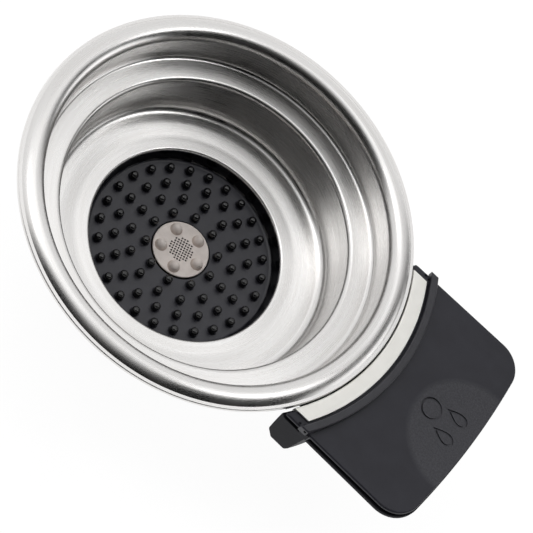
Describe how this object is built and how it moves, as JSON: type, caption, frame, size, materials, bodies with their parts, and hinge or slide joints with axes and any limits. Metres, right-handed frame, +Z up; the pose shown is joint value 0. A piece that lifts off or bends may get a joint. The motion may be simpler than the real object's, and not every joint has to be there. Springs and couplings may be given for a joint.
{
  "type": "coffee pad holder",
  "caption": "Round steel bowl that holds coffee pads over a nubbed floor with a sieve, carried by a black frame with a short flat tongue handle.",
  "frame": {"origin": "centre of the flat underside of the outlet body, on the bowl's axis", "axes": "+Z up along the bowl's axis and out of its mouth, +X from the bowl's axis along the handle to its tip"},
  "size_m": [0.1258, 0.096, 0.0375],
  "materials": {
    "brushed_steel": "satin, brushed round the bowl's axis",
    "trim_steel": "satin",
    "black_plastic": "fine satin grain",
    "floor_plastic": "semi gloss",
    "beige_plastic": "satin",
    "black_rubber": "matt",
    "zinc_plate": "bright zinc"
  },
  "bodies": {
    "root": {"pressed_bowl": "brushed_steel", "brew_floor": "floor_plastic", "sieve_disc": "beige_plastic", "floor_gasket": "black_rubber", "nozzle_insert": "beige_plastic", "nozzle_o_ring": "black_rubber", "splash_plate": "beige_plastic", "outlet_body": "black_plastic", "carrier_frame": "black_plastic", "handle_top_shell": "black_plastic", "handle_bottom_shell": "black_plastic", "trim_plate": "trim_steel", "shoulder_stud_1": "zinc_plate", "shoulder_stud_2": "zinc_plate", "shoulder_stud_3": "zinc_plate", "shoulder_nut_1": "zinc_plate", "shoulder_nut_2": "zinc_plate", "shoulder_nut_3": "zinc_plate", "floor_stud_1": "zinc_plate", "floor_stud_2": "zinc_plate", "floor_stud_3": "zinc_plate", "floor_nut_1": "zinc_plate", "floor_nut_2": "zinc_plate", "floor_nut_3": "zinc_plate", "handle_screw_1": "zinc_plate", "handle_screw_2": "zinc_plate", "handle_screw_3": "zinc_plate", "handle_screw_4": "zinc_plate"}
  },
  "joints": []
}
